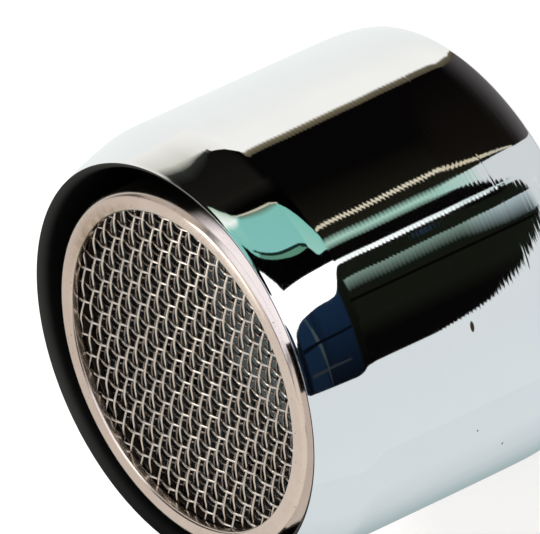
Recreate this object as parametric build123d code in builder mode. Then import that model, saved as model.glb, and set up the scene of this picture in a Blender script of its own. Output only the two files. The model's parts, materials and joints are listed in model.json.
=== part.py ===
from build123d import *
import os

# Tap aerator with an internal thread: a chromed brass shell round a plastic core with woven screens.
# The axis is Z, the inlet end stands on z = 0 and the outlet looks up. All sizes are millimetres.

# Shell
thread_diameter = 22.0
thread_length = 5.8
thread_relief = 0.3
shell_wall = 1.0
body_length = 18.3
nose_length = 3.75
nose_inset = 1.0
nose_bulge = 0.12
rim_width = 0.35
inlet_chamfer = 0.4
ledge_seat = 0.6
ledge_thickness = 1.2

# Core body
core_play = 0.5
core_side_gap = 0.08
core_wall = 0.8
flange_thickness = 2.4
recess_wall = 0.9
window_count = 8
window_width = 3.0
window_height = 1.2
window_rise = 0.3

# Steel cap of the core
cap_recess = 0.2
cap_wall = 0.42
cap_grip = 1.6
cap_bevel = 0.25
lip_width = 0.65
lip_thickness = 0.45
fit_gap = 0.03

# Woven screens: ridges stand for every second wire of the outlet screen, and every fourth behind it
wire_width = 0.16
weft_pitch = 0.735
warp_pitch = 1.02
outlet_wire_step = 2
inner_wire_step = 4
weave_angle = 45.7
spacer_height = 0.5
spacer_width = 0.55

# Plates in the flange recess
plate_gap = 0.05
jet_plate_thickness = 1.1
jet_length = 1.3
jet_width = 0.8
jet_counts = (6, 12)
jet_inner_radius = 2.6
jet_outer_radius = 5.8
strainer_thickness = 0.5
strainer_slot_length = 2.4
strainer_slot_width = 0.5
strainer_counts = (6, 14)
strainer_inner_radius = 2.4
strainer_outer_radius = 5.6

# Seal at the inlet
washer_thickness = 2.0
washer_width = 2.8
washer_gap = 0.2

# Heights along the axis, from the inlet end upwards
flange_face = thread_length + washer_thickness
strainer_top = flange_face + strainer_thickness
jet_plate_top = strainer_top + jet_plate_thickness
ledge_face = flange_face + flange_thickness
ledge_top = ledge_face + ledge_thickness
window_base = ledge_top + window_rise
cap_top = body_length - cap_recess
lip_face = cap_top - lip_thickness
screen_height = 2 * wire_width
outlet_screen_seat = lip_face - screen_height
spacer_seat = outlet_screen_seat - spacer_height
inner_screen_seat = spacer_seat - screen_height
sleeve_top = inner_screen_seat
cap_foot = sleeve_top - cap_grip

# Radii that fit one another, from the thread inwards and outwards
socket_radius = thread_diameter / 2
relief_radius = socket_radius + thread_relief
body_radius = socket_radius + shell_wall
rim_radius = body_radius - nose_inset
air_bore_radius = rim_radius - rim_width
flange_radius = socket_radius - core_play
ledge_radius = flange_radius - ledge_seat
core_radius = ledge_radius - core_play
core_bore_radius = core_radius - core_wall
recess_radius = flange_radius - recess_wall
plate_radius = recess_radius - plate_gap
cap_inner_radius = core_radius + fit_gap
cap_radius = cap_inner_radius + cap_wall
lip_radius = cap_inner_radius - lip_width
screen_radius = cap_inner_radius - fit_gap
washer_radius = socket_radius - washer_gap

# The core hangs loose on the ledge and lies over to one side of the shell by its play.
core_shift = core_play - core_side_gap
core_axis = Axis((-core_shift, 0, 0), (0, 0, 1))
core_section = Plane(origin=(-core_shift, 0, 0), x_dir=(1, 0, 0), z_dir=(0, -1, 0))


def core_level(height, turn=0):
    """Horizontal plane on the core's own axis, turned about it by some degrees."""
    return Plane(origin=(-core_shift, 0, height)).rotated((0, 0, turn))


os.makedirs("parts", exist_ok=True)

# Shell: one turned piece with thread bore, relief, ledge and air bore, drawn in by two tapers to a thin rim
with BuildPart() as housing:
    with BuildSketch(Plane.XZ):
        with BuildLine():
            Polyline(
                (rim_radius, body_length),
                (air_bore_radius, body_length),
                (air_bore_radius, ledge_top),
                (ledge_radius, ledge_top),
                (ledge_radius, ledge_face),
                (relief_radius, ledge_face),
                (relief_radius, thread_length),
                (socket_radius, thread_length),
                (socket_radius, 0),
                (body_radius - inlet_chamfer, 0),
                (body_radius, inlet_chamfer),
                (body_radius, body_length - nose_length),
                ((body_radius + rim_radius) / 2 + nose_bulge, body_length - nose_length / 2),
                close=True,
            )
        make_face()
    revolve(axis=Axis.Z)
housing.part.label = "housing"
export_step(housing.part, "parts/housing.step")

# Flat rubber ring between the spout and the core's flange
with BuildPart() as sealing_washer:
    with BuildSketch(Plane.XY.offset(thread_length)):
        Circle(washer_radius)
        Circle(washer_radius - washer_width, mode=Mode.SUBTRACT)
    extrude(amount=washer_thickness)
sealing_washer.part.label = "sealing_washer"
export_step(sealing_washer.part, "parts/sealing_washer.step")

# Core body: flange with a recess for the plates, sleeve, and a ring of air windows above the ledge
with BuildPart() as core_sleeve:
    with BuildSketch(core_section):
        with BuildLine():
            Polyline(
                (recess_radius, flange_face),
                (flange_radius, flange_face),
                (flange_radius, ledge_face),
                (core_radius, ledge_face),
                (core_radius, sleeve_top),
                (core_bore_radius, sleeve_top),
                (core_bore_radius, jet_plate_top),
                (recess_radius, jet_plate_top),
                close=True,
            )
        make_face()
    revolve(axis=core_axis)
    with BuildSketch(core_level(window_base)):
        with PolarLocations(core_radius, window_count):
            Rectangle(4 * core_wall, window_width)
    extrude(amount=window_height, mode=Mode.SUBTRACT)
core_sleeve.part.label = "core_sleeve"
export_step(core_sleeve.part, "parts/core_sleeve.step")

# Steel cap: skirt pressed over the sleeve, lip turned in over the screens
with BuildPart() as screen_cap:
    with BuildSketch(core_section):
        with BuildLine():
            Polyline(
                (cap_inner_radius, cap_foot),
                (cap_radius, cap_foot),
                (cap_radius, cap_top - cap_bevel),
                (cap_radius - cap_bevel, cap_top),
                (lip_radius, cap_top),
                (lip_radius, lip_face),
                (cap_inner_radius, lip_face),
                close=True,
            )
        make_face()
    revolve(axis=core_axis)
screen_cap.part.label = "screen_cap"
export_step(screen_cap.part, "parts/screen_cap.step")

# Woven discs: weft ridges lie over warp ridges, cut to a disc that the lip and the sleeve clamp
screens = {
    "outlet_screen": (outlet_screen_seat, outlet_wire_step),
    "inner_screen": (inner_screen_seat, inner_wire_step),
}
for name, (seat, wire_step) in screens.items():
    with BuildPart() as screen:
        for level, pitch, turn in ((seat, warp_pitch, 90), (seat + wire_width, weft_pitch, 0)):
            ridge_pitch = wire_step * pitch
            ridge_count = 2 * int(screen_radius / ridge_pitch) + 1
            with BuildSketch(core_level(level, weave_angle + turn)):
                with GridLocations(ridge_pitch, 0, ridge_count, 1):
                    Rectangle(wire_width, 2 * screen_radius)
                Circle(screen_radius, mode=Mode.INTERSECT)
            extrude(amount=wire_width)
    screen.part.label = name
    export_step(screen.part, f"parts/{name}.step")

# Thin ring that holds the two screens apart
with BuildPart() as screen_spacer:
    with BuildSketch(core_level(spacer_seat)):
        Circle(screen_radius)
        Circle(screen_radius - spacer_width, mode=Mode.SUBTRACT)
    extrude(amount=spacer_height)
screen_spacer.part.label = "screen_spacer"
export_step(screen_spacer.part, "parts/screen_spacer.step")

# Jet plate on the floor of the recess, with the strainer disc over it on the inlet side
with BuildPart() as jet_plate:
    with BuildSketch(core_level(strainer_top)):
        Circle(plate_radius)
        for jet_count, ring_radius in zip(jet_counts, (jet_inner_radius, jet_outer_radius)):
            with PolarLocations(ring_radius, jet_count):
                Rectangle(jet_length, jet_width, mode=Mode.SUBTRACT)
    extrude(amount=jet_plate_thickness)
jet_plate.part.label = "jet_plate"
export_step(jet_plate.part, "parts/jet_plate.step")

with BuildPart() as inlet_strainer:
    with BuildSketch(core_level(flange_face)):
        Circle(plate_radius)
        for slot_count, ring_radius in zip(strainer_counts, (strainer_inner_radius, strainer_outer_radius)):
            with PolarLocations(ring_radius, slot_count):
                Rectangle(strainer_slot_length, strainer_slot_width, mode=Mode.SUBTRACT)
    extrude(amount=strainer_thickness)
inlet_strainer.part.label = "inlet_strainer"
export_step(inlet_strainer.part, "parts/inlet_strainer.step")
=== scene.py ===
# %% [markdown]
# # Tap aerator
#
# The part is a small chromed shell that screws onto a tap. A plastic core with a steel cap and two woven
# wire screens hangs loose inside it. The solids already have their true size and place, so this lesson
# gives them their looks: rounded edges, a real weave, a screw thread, and metals that mirror a small
# studio.

# %% Load the solids as a fixed frame
import json
import math

import bpy
from mathutils import Matrix, Vector

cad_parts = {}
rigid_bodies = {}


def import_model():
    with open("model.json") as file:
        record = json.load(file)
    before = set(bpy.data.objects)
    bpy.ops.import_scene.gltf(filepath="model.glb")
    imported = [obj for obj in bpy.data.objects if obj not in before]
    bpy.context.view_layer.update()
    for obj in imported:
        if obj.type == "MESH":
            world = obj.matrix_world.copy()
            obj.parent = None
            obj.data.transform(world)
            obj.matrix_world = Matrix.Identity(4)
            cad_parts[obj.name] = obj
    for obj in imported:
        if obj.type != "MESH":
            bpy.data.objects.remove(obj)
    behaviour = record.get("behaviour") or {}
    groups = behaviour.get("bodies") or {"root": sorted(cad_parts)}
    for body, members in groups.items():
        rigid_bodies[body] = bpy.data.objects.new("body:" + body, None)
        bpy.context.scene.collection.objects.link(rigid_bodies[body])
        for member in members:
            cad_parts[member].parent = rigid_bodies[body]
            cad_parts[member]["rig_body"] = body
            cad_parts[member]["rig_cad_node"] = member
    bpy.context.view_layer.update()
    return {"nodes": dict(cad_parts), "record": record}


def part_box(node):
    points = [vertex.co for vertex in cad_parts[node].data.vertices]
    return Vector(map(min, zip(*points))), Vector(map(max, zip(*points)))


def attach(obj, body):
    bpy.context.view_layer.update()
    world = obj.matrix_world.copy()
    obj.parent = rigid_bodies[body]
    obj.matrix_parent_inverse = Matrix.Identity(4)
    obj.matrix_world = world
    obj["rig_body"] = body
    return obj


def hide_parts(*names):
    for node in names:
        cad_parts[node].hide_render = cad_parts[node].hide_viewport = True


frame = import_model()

mm = 0.001
print("solids:", sorted(frame["nodes"]))

# %% [markdown]
# ## Sizes
#
# The main sizes come from the boxes of the solids and from the thread that the record names. A size that
# no box shows, such as the bore, is given where its piece is made. The core hangs loose and lies over to
# one side of the shell, so it has an axis of its own, read from the box of the cap.

# %% Read the sizes that the pieces share
housing_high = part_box("housing")[1]
cap_low, cap_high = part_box("screen_cap")
thread = next(m for m in frame["record"]["mounts"] if m["name"] == "inlet_thread")

body_radius = housing_high.x
shell_length = housing_high.z
core_x = (cap_low.x + cap_high.x) / 2
cap_radius = (cap_high.x - cap_low.x) / 2
socket_radius = thread["dims"]["r_mm"] * mm
socket_length = thread["dims"]["length_mm"] * mm
print(f"shell {2 * body_radius / mm:.1f} mm across, {shell_length / mm:.1f} mm long")
print(f"core axis at x {core_x / mm:.2f} mm")

# %% [markdown]
# ## Camera
#
# The part stands on its inlet end in its own frame, and the picture shows it lying on its side. So the
# camera looks down at the outlet and is rolled over. A very long lens from a metre away gives the flat
# perspective of a close-up. The aim point lies near the middle of the shell, and its place in the picture
# is given in pixels.

# %% Place the camera
image_width, image_height = 540, 534
aim_pixel = (313.4, 301.4)
pixels_per_mm = 19.49
view_polar = math.radians(57.44)
view_roll = math.radians(-114.82)
view_distance = 1.0
aim = Vector((0, 0, 9.0 * mm))

back = Vector((0, -math.sin(view_polar), math.cos(view_polar)))
level_right = (-back).cross(Vector((0, 0, 1))).normalized()
level_down = (-back).cross(level_right)
cos_roll, sin_roll = math.cos(view_roll), math.sin(view_roll)
right = cos_roll * level_right - sin_roll * level_down
down = sin_roll * level_right + cos_roll * level_down
offset_x = (aim_pixel[0] - image_width / 2) / pixels_per_mm * mm
offset_y = (aim_pixel[1] - image_height / 2) / pixels_per_mm * mm
eye = aim + view_distance * back - offset_x * right - offset_y * down

bpy.ops.object.select_all(action="DESELECT")
bpy.ops.object.camera_add()
camera = bpy.context.object
camera.name = "photo_camera"
turn = Matrix((right, -down, back)).transposed().to_4x4()
camera.matrix_world = Matrix.Translation(eye) @ turn
camera.data.sensor_fit = "HORIZONTAL"
camera.data.lens = pixels_per_mm / mm * view_distance * camera.data.sensor_width / image_width
scene = bpy.context.scene
scene.camera = camera
print(f"camera at {tuple(round(c, 3) for c in eye)}, lens {camera.data.lens:.0f} mm")

# %% [markdown]
# ## Nodes
#
# The world and every finish are webs of nodes. In the editor one adds a node, sets it, and drags a line to
# each of its inputs. These helpers do the same in one line each. An input takes a plain value or the
# output of another node. The Mix node keeps sockets for several kinds of values, so the ones for colours
# are named here.

# %% Helpers that add nodes
colour_a, colour_b, colour_result = 6, 7, 2


def node(tree, kind, inputs=(), **settings):
    """Add a shader node, set it, and feed its inputs, which are named or numbered."""
    made = tree.nodes.new("ShaderNode" + kind)
    for name, setting in settings.items():
        setattr(made, name, setting)
    for socket, value in dict(inputs).items():
        if isinstance(value, bpy.types.NodeSocket):
            tree.links.new(value, made.inputs[socket])
        else:
            made.inputs[socket].default_value = value
    return made


def maths(tree, operation, *values):
    """Result of a Math node."""
    return node(tree, "Math", enumerate(values), operation=operation).outputs[0]


def vector_maths(tree, operation, *values):
    """Result of a Vector Math node: a number for a length, a distance or a dot product, else a vector."""
    made = node(tree, "VectorMath", enumerate(values), operation=operation)
    gives_number = operation in ("LENGTH", "DISTANCE", "DOT_PRODUCT")
    return made.outputs["Value" if gives_number else "Vector"]


def spread(tree, value, low, high, from_low=0.0, from_high=1.0, curve="LINEAR"):
    """Map a value to a new range."""
    inputs = {"Value": value, "From Min": from_low, "From Max": from_high, "To Min": low, "To Max": high}
    return node(tree, "MapRange", inputs, interpolation_type=curve).outputs[0]


def soft_step(tree, value, low, high):
    """Rise smoothly from 0 to 1 while a value goes from low to high."""
    return spread(tree, value, 0.0, 1.0, low, high, "SMOOTHSTEP")


def mixed(tree, share, first, second):
    """Mix two colours by a share."""
    inputs = {"Factor": share, colour_a: first, colour_b: second}
    return node(tree, "Mix", inputs, data_type="RGBA").outputs[colour_result]


def new_material(name):
    """Make an empty node material and return it with its tree."""
    material = bpy.data.materials.new(name)
    material.use_nodes = True
    material.node_tree.nodes.clear()
    return material, material.node_tree


print("node helpers ready")

# %% [markdown]
# ## Light
#
# A matt surface needs only soft light: a large lamp on one side, a weaker one on the other, and an even
# world. The floor is almost white under that light, so a little glow towards the camera alone lifts it to
# white, and the shadow stays.

# %% Add the floor and two soft lamps
floor_size = 0.8
floor_gap = 0.02 * mm
floor_glow = 0.30
paper_white = (0.93, 0.925, 0.92, 1)
scene.view_settings.view_transform = "Standard"


def soft_lamp(name, direction, distance, size, watts, colour):
    """Add a square lamp that faces the part and stays out of its reflections."""
    bpy.ops.object.light_add(type="AREA", location=Vector(direction).normalized() * distance)
    lamp = bpy.context.object
    lamp.name = name
    lamp.rotation_euler = Vector(direction).to_track_quat("Z", "Y").to_euler()
    lamp.data.size = size
    lamp.data.energy = watts
    lamp.data.color = colour
    lamp.visible_glossy = False


def floor_paper():
    """Pale matt paper that glows a little towards the camera only."""
    material, tree = new_material("floor_paper")
    camera_ray = node(tree, "LightPath").outputs["Is Camera Ray"]
    matt = node(tree, "BsdfDiffuse", {"Color": paper_white})
    glow = node(tree, "Emission", {"Strength": maths(tree, "MULTIPLY", camera_ray, floor_glow)})
    both = node(tree, "AddShader", {0: matt.outputs[0], 1: glow.outputs[0]})
    node(tree, "OutputMaterial", {"Surface": both.outputs[0]})
    return material


soft_lamp("key_lamp", (0.65, -0.35, 0.75), distance=0.30, size=0.22, watts=0.50, colour=(1.0, 0.99, 0.97))
soft_lamp("fill_lamp", (-0.30, -0.60, 0.70), distance=0.35, size=0.30, watts=0.20, colour=(0.97, 0.98, 1.0))
bpy.ops.mesh.primitive_plane_add(size=floor_size, location=(0, 0, -floor_gap))
floor = bpy.context.object
floor.name = "floor"
floor.data.materials.append(floor_paper())
floor.visible_glossy = False

# %% [markdown]
# ## Surroundings that the metal mirrors
#
# Chrome has no colour of its own: it shows what stands round it. So the world has two faces. Matt surfaces
# receive an even pale light. Mirrored rays see pale walls that change slowly round the part, and a dark
# ceiling that gives the wires their dark flanks. The camera itself sees plain white.

# %% Paint the world
wall_stops = [
    (-180, (0.77, 0.82, 0.84)),
    (-128, (0.75, 0.795, 0.815)),
    (-90, (0.75, 0.78, 0.80)),
    (-20, (1.02, 1.01, 0.98)),
    (12, (1.00, 0.985, 0.95)),
    (30, (0.93, 0.945, 0.925)),
    (62, (0.93, 0.96, 0.95)),
    (86, (0.90, 0.94, 0.94)),
    (97, (0.36, 0.44, 0.45)),
    (112, (0.42, 0.51, 0.52)),
    (135, (0.64, 0.70, 0.72)),
    (155, (0.74, 0.79, 0.81)),
]
dark_ceiling = (0.05, 0.047, 0.044, 1)
ceiling_starts, ceiling_full = math.radians(14), math.radians(24)
matt_light = (0.60, 0.59, 0.575, 1)
white_ground = (1, 1, 1, 1)

world = bpy.data.worlds.new("studio")
world.use_nodes = True
world.cycles.sampling_method = "NONE"
scene.world = world
sky = world.node_tree
sky.nodes.clear()

direction = node(sky, "SeparateXYZ", {0: node(sky, "TexCoord").outputs["Generated"]}).outputs
azimuth = maths(sky, "ARCTAN2", direction["Y"], direction["X"])
walls = node(sky, "ValToRGB", {"Fac": spread(sky, azimuth, 0.0, 1.0, -math.pi, math.pi)})
stops = walls.color_ramp.elements
while len(stops) < len(wall_stops):
    stops.new(1.0)
for stop, (degrees, colour) in zip(stops, wall_stops):
    stop.position = (degrees + 180) / 360
    stop.color = (*colour, 1)
elevation = maths(sky, "ARCSINE", direction["Z"])
high = soft_step(sky, elevation, ceiling_starts, ceiling_full)
mirrored = mixed(sky, high, walls.outputs[0], dark_ceiling)
rays = node(sky, "LightPath").outputs
by_kind = mixed(sky, rays["Is Glossy Ray"], matt_light, mirrored)
seen = mixed(sky, rays["Is Camera Ray"], by_kind, white_ground)
background = node(sky, "Background", {"Color": seen})
node(sky, "OutputWorld", {"Surface": background.outputs[0]})
print("wall stops:", [round(stop.position, 3) for stop in stops])

# %% [markdown]
# ## Slope of the shell
#
# The shell's form and its mirror images hang together, so its slope comes first. The nose could be a plain
# cone, but the stripes on it bend: its slope grows fast at the shoulder and slowly after it. Towards the
# inlet the shell is drawn in a little.

# %% Give the slope at a height
nose_length = 3.85 * mm
shoulder_length = 1.05 * mm
taper_slope = 13.4
rim_slope = 20.6
nose_curl = 1.6
nose_start = shell_length - nose_length
draw_length = 9.0 * mm
draw_slope = 1.0
draw_ease = 1.6


def shell_slope(height):
    """Slope in degrees: below zero where the shell is drawn in towards the inlet, above zero on the nose."""
    if height < draw_length:
        return -draw_slope * (1 - max(0, height) / draw_length) ** draw_ease
    rise = max(0, height - nose_start)
    if rise < shoulder_length:
        return taper_slope * rise / shoulder_length
    curl = (rise - shoulder_length) / (nose_length - shoulder_length)
    return taper_slope + (rim_slope - taper_slope) * curl**nose_curl


print(f"slope at the inlet {shell_slope(0):.1f}, at the rim {shell_slope(shell_length):.1f} degrees")

# %% [markdown]
# ## Studio cards
#
# The dark band, the pale stripes and the window on the shell are mirror images of things round it. A
# photographer puts such shapes there with cards and flags, and the scene does the same: bent sheets that
# only mirrored rays see. A card is given by rows from bottom to top. A row has a height and the two turns
# where its edges lie. The card's paint stands after its rows, and a row that differs has its own. A second
# paint makes a row fade from one edge to the other.

# %% A helper that bends and paints a card
far_step = 2.5


def card_paint():
    """Glowing paint that reads each card's own colours."""
    material, tree = new_material("card_paint")
    paint = node(tree, "Attribute", attribute_name="paint")
    glow = node(tree, "Emission", {"Color": paint.outputs["Color"]})
    node(tree, "OutputMaterial", {"Surface": glow.outputs[0]})
    material.cycles.emission_sampling = "NONE"
    return material


def blended(rows, height):
    """Edges of a card and their paints at a height, between the two rows next to it."""
    for low, high in zip(rows, rows[1:]):
        if height <= high[0]:
            break
    share = (height - low[0]) / (high[0] - low[0])
    edges = [a + (b - a) * share for a, b in zip(low[1:3], high[1:3])]
    paints = [Vector(low[side]).lerp(Vector(high[side]), share) for side in (3, -1)]
    return edges, paints


def hang_card(name, rows, paints, step, place):
    """Bend a grid between the edges that the rows give; place() turns a turn and a height into a point."""
    rows = [row if len(row) > 3 else (*row, *paints) for row in rows]
    bottom, top = rows[0][0], rows[-1][0]
    levels = math.ceil((top - bottom) / step) + 1
    heights = {bottom + (top - bottom) * i / levels for i in range(levels)}
    heights = sorted(heights | {row[0] for row in rows})
    columns = max(2, math.ceil(max(abs(row[2] - row[1]) for row in rows) / far_step))
    bpy.ops.object.select_all(action="DESELECT")
    bpy.ops.mesh.primitive_grid_add(x_subdivisions=columns, y_subdivisions=len(heights) - 1, size=2)
    card = bpy.context.object
    card.name = name
    colours = card.data.color_attributes.new("paint", "FLOAT_COLOR", "POINT")
    for vertex, colour in zip(card.data.vertices, colours.data):
        across = (vertex.co.x + 1) / 2
        height = heights[round((vertex.co.y + 1) / 2 * (len(heights) - 1))]
        (start, end), (first, last) = blended(rows, height)
        vertex.co = place(start + (end - start) * across, height)
        colour.color = (*first.lerp(last, across), 1)
    card.data.materials.append(glowing)
    card.visible_camera = False
    card.visible_diffuse = False
    card.visible_transmission = False
    card.visible_shadow = False
    print(f"{name}: {len(card.data.polygons)} faces")


glowing = card_paint()
print("paint:", glowing.name)

# %% [markdown]
# ### Places of the cards
#
# Far cards hang on a large ball, so their rows have angles: height above the horizon, and turn round the
# axis. Nose cards hang on the same ball, and near cards close by. Both are given by where they are seen on
# the shell: the height on it in millimetres, and the turn round it. The camera's ray, mirrored at that
# place, says where the card has to hang. That is surer than moving a card by eye until its image sits
# right.

# %% Helpers that place a card
far_ball = 3.0
near_distance = 0.04
layer_gap = 0.01
near_step = 0.4
nose_step = 0.08


def ray_towards(turn, height):
    """Unit vector with a turn round the axis and a height above the horizon, both in degrees."""
    turn, height = math.radians(turn), math.radians(height)
    return Vector((math.cos(height) * math.cos(turn), math.cos(height) * math.sin(turn), math.sin(height)))


def mirrored_ray(turn, height):
    """Place on the shell at a turn in degrees and a height in mm, and the camera's ray mirrored there."""
    slope = math.radians(shell_slope(height * mm))
    spot = ray_towards(turn, 0) * body_radius + Vector((0, 0, height * mm))
    out = ray_towards(turn, 0) * math.cos(slope) + Vector((0, 0, math.sin(slope)))
    return spot, (spot - eye).normalized().reflect(out)


def far_card(name, layer, rows, *paints):
    """Card on the large ball; a higher layer hangs in front."""
    def place(turn, height):
        return aim + ray_towards(turn, height) * far_ball * (1 - layer_gap * layer)
    hang_card(name, rows, paints, far_step, place)


def nose_card(name, layer, rows, *paints):
    """Card on the large ball, hung where the camera sees it mirrored at the given places of the nose."""
    def place(turn, height):
        return aim + mirrored_ray(turn, height)[1] * far_ball * (1 - layer_gap * layer)
    hang_card(name, rows, paints, nose_step, place)


def near_card(name, layer, rows, *paints):
    """Card close to the shell, hung where the camera sees it mirrored at the given places."""
    def place(turn, height):
        spot, ray = mirrored_ray(turn, height)
        return spot + ray * near_distance * (1 - layer_gap * layer)
    hang_card(name, rows, paints, near_step, place)


print("far cards hang at", far_ball, "m, near ones at", near_distance, "m")

# %% [markdown]
# ### Dark flag and its edges
#
# The black band is a large dark flag, whose lower end fades to grey. A bronze strip runs along one edge
# and a tan one along the other. Both lean, so the turning marks break them into short slanting strokes. On
# the nose the flag swings out to the left and fades into the pale wall.

# %% Hang the dark flag
black = (0.0022, 0.0018, 0.0018)
olive_shade = (0.0125, 0.0118, 0.0078)
flag_dim = (0.018, 0.016, 0.017)
flag_dusk = (0.068, 0.062, 0.063)
flag_mid = (0.13, 0.12, 0.12)
flag_grey = (0.22, 0.21, 0.205)
wall_white = (0.98, 0.965, 0.93)
bronze = (0.20, 0.17, 0.105)
low_bronze = (0.135, 0.118, 0.075)
dark_bronze = (0.070, 0.060, 0.040)
tan = (0.68, 0.60, 0.43)
pale_tan = (0.86, 0.80, 0.64)

far_card("dark_flag", 0, [
    (-75, 70, -52, flag_grey, flag_mid), (-57, 50, -58, flag_grey, flag_mid),
    (-50.5, 32, -59.6, flag_mid, flag_dusk), (-44, 11, -60.4, flag_dusk, flag_dim),
    (-38.5, 2.8, -60.8, flag_dim, black), (-34, -2.0, -80), (-31.4, -5.5, -80), (-28, -3.0, -80),
], black)
far_card("bronze_edge", 1, [
    (-57, 51, 44), (-50.5, 33, 27), (-44, 12, 7.5), (-38.5, 3.8, 0.0), (-36, 1.0, -2.4), (-34, 0.8, -2.8),
    (-32.6, -1.4, -4.8, bronze, dark_bronze), (-31.4, -3.2, -6.8, bronze, dark_bronze),
    (-28.5, -3.2, -6.6, bronze, dark_bronze),
], low_bronze, dark_bronze)
far_card("bronze_fade", 1, [
    (-57, 54, 51), (-50.5, 35, 33), (-44, 14, 12), (-38.5, 5.6, 3.8), (-36, 2.6, 1.0), (-34, 2.4, 0.8),
    (-32.6, 0.4, -1.4, wall_white, bronze), (-31.4, -1.4, -3.2, wall_white, bronze),
    (-28.5, -1.4, -3.2, wall_white, bronze),
], wall_white, low_bronze)
far_card("edge_shade", 0.5, [(-36, -36, -66.5), (-29, -36, -66.5)], black, olive_shade)
far_card("tan_edge", 1, [
    (-36, -59.4, -60.8), (-34, -54.8, -56.5, pale_tan), (-31.6, -58.3, -60.0), (-30.6, -58.0, -59.4),
], tan)

# %% [markdown]
# On the nose the same flag needs its own outline, because the nose looks higher up than the body does. Its
# left side is brown and fades into the wall, and its right side is the deepest black.

# %% Hang the flag that the nose mirrors
deep_black = (0.0008, 0.0008, 0.0008)
brown_black = (0.0055, 0.005, 0.0045)
green_black = (0.0115, 0.011, 0.009)
wall_mild = (0.86, 0.84, 0.79)
wall_haze = (0.70, 0.68, 0.61)
haze_dark = (0.030, 0.033, 0.028)

nose_card("nose_flag", 0, [
    (14.6, -45.3, -64, black), (14.8, -43.9, -64, black), (15.0, -42.4, -64, brown_black),
    (15.2, -40.6, -64), (15.4, -39.0, -64), (15.6, -38.3, -64), (16.0, -37.8, -64), (17.0, -37.4, -64),
    (17.5, -36.4, -64), (17.8, -35.2, -64), (18.6, -32.0, -60),
], brown_black, green_black)
nose_card("nose_dark", 0.5, [(14.6, -60.5, -85), (18.6, -59, -86)], deep_black)
nose_card("nose_dark_fade", 0.5, [
    (14.6, -56, -60.5, black, deep_black), (15.2, -56, -60.5), (18.6, -54, -59),
], green_black, deep_black)
nose_card("nose_haze", 0.5, [
    (15.0, -26, -42.0, wall_white), (16.0, -26, -37.8, wall_white, wall_mild), (16.7, -24, -37.4),
    (17.2, -24, -36.9), (18.6, -18, -31.8),
], wall_white, wall_haze)
nose_card("flag_shade", 1, [
    (15.7, -38.1, -38.4), (16.5, -36.9, -39.0), (17.0, -36.0, -40.0), (17.5, -35.0, -39.5),
    (18.6, -30.0, -36.0),
], wall_haze, haze_dark)
nose_card("flag_shade_end", 1, [
    (15.7, -38.4, -39.2), (16.5, -39.0, -43.0), (17.5, -39.5, -45.0), (18.6, -36.0, -42.0),
], haze_dark, brown_black)

# %% [markdown]
# ### Teal card
#
# A teal card shows as a narrow strip on the body, which fades to both sides, and as a broad patch on the
# nose. One card would give both only by luck, because body and nose look to different heights. So there
# are two far cards for the strip, one for each side of its bright middle, and a nose card for the patch.

# %% Hang the teal card
teal = (0.22, 0.56, 0.49)
mid_teal = (0.34, 0.58, 0.48)
bright_teal = (0.50, 0.76, 0.66)
shade_teal = (0.055, 0.085, 0.065)
blue_teal = (0.25, 0.575, 0.545)
pale_teal = (0.33, 0.64, 0.55)

far_card("teal_strip", 2, [
    (-40, -63.0, -66.0), (-34.2, -62.5, -65.9), (-31.4, -64.9, -67.7, shade_teal, mid_teal),
    (-29.5, -63.0, -66.0, teal),
], shade_teal, bright_teal)
far_card("teal_strip_end", 2, [
    (-40, -66.0, -68.4), (-34.2, -65.9, -69.0), (-31.4, -67.7, -70.7, mid_teal, shade_teal),
    (-29.5, -66.0, -69.4, teal),
], bright_teal, shade_teal)
nose_card("teal_patch", 2, [
    (14.5, -76.2, -79.6), (14.65, -73.0, -79.7), (14.75, -71.0, -79.8), (14.9, -68.5, -80.0),
    (15.05, -66.4, -80.1), (15.15, -65.3, -79.7), (15.3, -64.0, -77.8), (15.4, -63.4, -77.1, teal),
    (15.55, -62.9, -77.3, teal, blue_teal), (16.0, -62.6, -77.6, teal, blue_teal),
    (16.4, -62.4, -77.4, teal, blue_teal), (17.0, -61.7, -76.5, teal, blue_teal),
    (17.3, -61.0, -75.7, teal, blue_teal), (17.6, -59.8, -74.6, teal, blue_teal),
    (17.8, -57.8, -73.4, pale_teal, teal), (18.0, -55.5, -71.0, pale_teal, teal),
    (18.25, -52.0, -66.0, pale_teal, teal), (18.6, -47.0, -60.0, pale_teal, teal),
], teal, pale_teal)

# %% [markdown]
# A tan line and an olive shade run along the left side of the patch, a dark groove inside its right side,
# and its upper left corner is white. Each is a small card in front of the patch, which keeps its edge as
# sharp as it is.

# %% Hang the lines on the teal patch
dim_teal = (0.30, 0.42, 0.36)
white_teal = (0.98, 1.05, 0.98)
pale_green = (0.46, 0.58, 0.45)
dull_tan = (0.58, 0.54, 0.42)
olive = (0.13, 0.17, 0.11)
band_green = (0.115, 0.28, 0.20)
groove_green = (0.008, 0.022, 0.015)

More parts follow.
